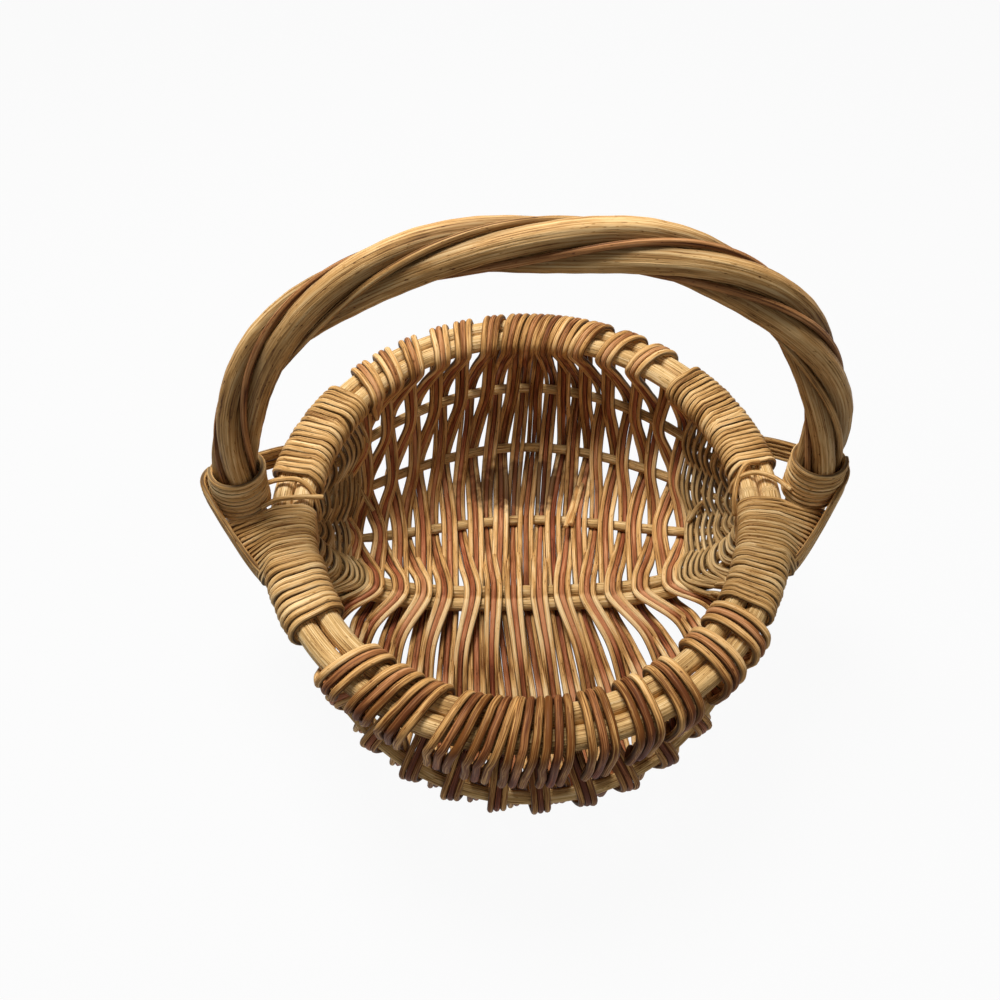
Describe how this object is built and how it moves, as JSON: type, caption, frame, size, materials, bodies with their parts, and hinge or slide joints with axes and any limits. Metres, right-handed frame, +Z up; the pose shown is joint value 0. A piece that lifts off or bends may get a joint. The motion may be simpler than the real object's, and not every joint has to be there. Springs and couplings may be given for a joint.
{
  "type": "woven basket",
  "caption": "Two-lobed woven basket on a double rod rim with round ribs, over-and-under strand bands, bound ears and a fixed twisted arch handle.",
  "frame": {"origin": "middle of the bounding box, on the surface the basket stands on", "axes": "+X from the left ear to the right ear along the handle, +Y from front to back, +Z up"},
  "size_m": [0.2992, 0.269, 0.2553],
  "materials": {
    "rim_rod": "peeled rod, satin",
    "rib": "round rod, matte",
    "handle_rod": "fibrous rod, matte",
    "weaver": "round strand, matte",
    "binding": "round strand, matte",
    "dyed_strand": "round strand, reddish, matte"
  },
  "bodies": {
    "root": {"rim_rod_outer": "rim_rod", "rim_rod_inner": "rim_rod", "keel_rod_front": "rib", "keel_rod_back": "rib", "rib_front_upper": "rib", "rib_front_middle": "rib", "rib_front_lower": "rib", "rib_back_upper": "rib", "rib_back_middle": "rib", "rib_back_lower": "rib", "handle_rod_1": "handle_rod", "handle_rod_2": "handle_rod", "handle_rod_3": "handle_rod", "handle_strand_1": "dyed_strand", "handle_strand_2": "binding", "handle_strand_3": "dyed_strand", "weaver_01": "weaver", "weaver_02": "weaver", "weaver_03": "weaver", "weaver_04": "weaver", "weaver_05": "weaver", "weaver_06": "weaver", "weaver_07": "weaver", "weaver_08": "weaver", "weaver_09": "weaver", "weaver_10": "weaver", "weaver_11": "weaver", "weaver_12": "weaver", "weaver_13": "weaver", "ear_weaver_left_1": "binding", "ear_weaver_left_2": "binding", "ear_weaver_left_3": "binding", "ear_weaver_left_4": "binding", "ear_weaver_right_1": "binding", "ear_weaver_right_2": "binding", "ear_weaver_right_3": "binding", "ear_weaver_right_4": "binding", "rim_binding_left_front": "binding", "rim_binding_left_back": "binding", "rim_binding_right_front": "binding", "rim_binding_right_back": "binding", "handle_collar_left": "binding", "handle_collar_right": "binding", "ear_lashing_left": "binding", "ear_lashing_right": "binding"}
  },
  "joints": []
}
